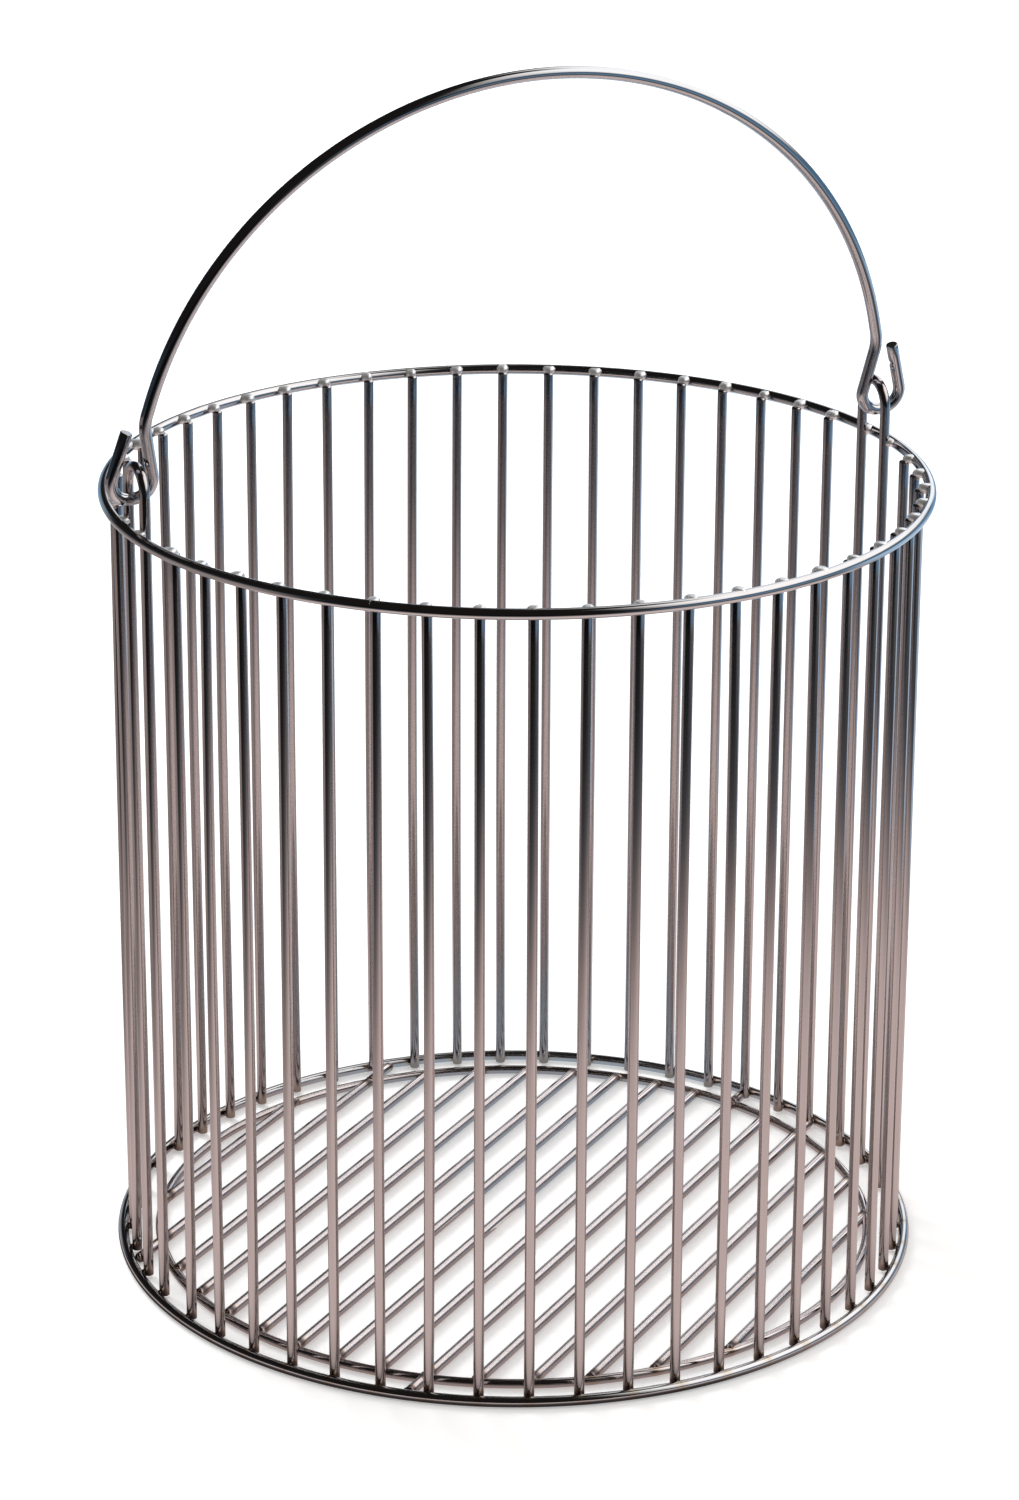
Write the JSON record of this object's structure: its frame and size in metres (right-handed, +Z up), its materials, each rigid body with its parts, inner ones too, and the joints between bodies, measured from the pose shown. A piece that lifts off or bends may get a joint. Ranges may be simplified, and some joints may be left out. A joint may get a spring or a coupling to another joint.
{
  "type": "wire basket",
  "caption": "Round straight-sided basket of welded stainless steel wire with an open mouth, a barred floor and a swinging bail handle hooked through two wire ears.",
  "frame": {"origin": "on the table, under the centre of the basket", "axes": "+Z up; +X along the bail's hinge line towards the right ear; +Y away from the side that the bail leans to"},
  "size_m": [0.3152, 0.3044, 0.4552],
  "materials": {
    "ring_steel": "polished stainless wire, weld spots where the uprights meet it",
    "upright_steel": "drawn stainless wire, warm grey, satin to polished",
    "floor_steel": "drawn stainless wire, bright along the top",
    "bail_steel": "polished stainless wire"
  },
  "bodies": {
    "basket": {"rim_ring": "ring_steel", "base_ring": "ring_steel", "upright_01": "upright_steel", "upright_02": "upright_steel", "upright_03": "upright_steel", "upright_04": "upright_steel", "upright_05": "upright_steel", "upright_06": "upright_steel", "upright_07": "upright_steel", "upright_08": "upright_steel", "upright_09": "upright_steel", "upright_10": "upright_steel", "upright_11": "upright_steel", "upright_12": "upright_steel", "upright_13": "upright_steel", "upright_14": "upright_steel", "upright_15": "upright_steel", "upright_16": "upright_steel", "upright_17": "upright_steel", "upright_18": "upright_steel", "upright_19": "upright_steel", "upright_20": "upright_steel", "upright_21": "upright_steel", "upright_22": "upright_steel", "upright_23": "upright_steel", "upright_24": "upright_steel", "upright_25": "upright_steel", "upright_26": "upright_steel", "upright_27": "upright_steel", "upright_28": "upright_steel", "upright_29": "upright_steel", "upright_30": "upright_steel", "upright_31": "upright_steel", "upright_32": "upright_steel", "upright_33": "upright_steel", "upright_34": "upright_steel", "upright_35": "upright_steel", "upright_36": "upright_steel", "upright_37": "upright_steel", "upright_38": "upright_steel", "upright_39": "upright_steel", "upright_40": "upright_steel", "upright_41": "upright_steel", "upright_42": "upright_steel", "upright_43": "upright_steel", "upright_44": "upright_steel", "upright_45": "upright_steel", "upright_46": "upright_steel", "ear_right": "upright_steel", "ear_left": "upright_steel", "floor_grid": "floor_steel", "floor_tie_1": "floor_steel", "floor_tie_2": "floor_steel", "floor_tie_3": "floor_steel", "floor_tie_4": "floor_steel", "floor_tie_5": "floor_steel"},
    "bail": {"bail_handle": "bail_steel"}
  },
  "joints": [
    {"name": "bail_swing", "type": "hinge", "parent": "basket", "child": "bail", "pos_m": [0, 0, 0.3091], "axis": [1, 0, 0], "range_deg": [-101, 83]}
  ]
}
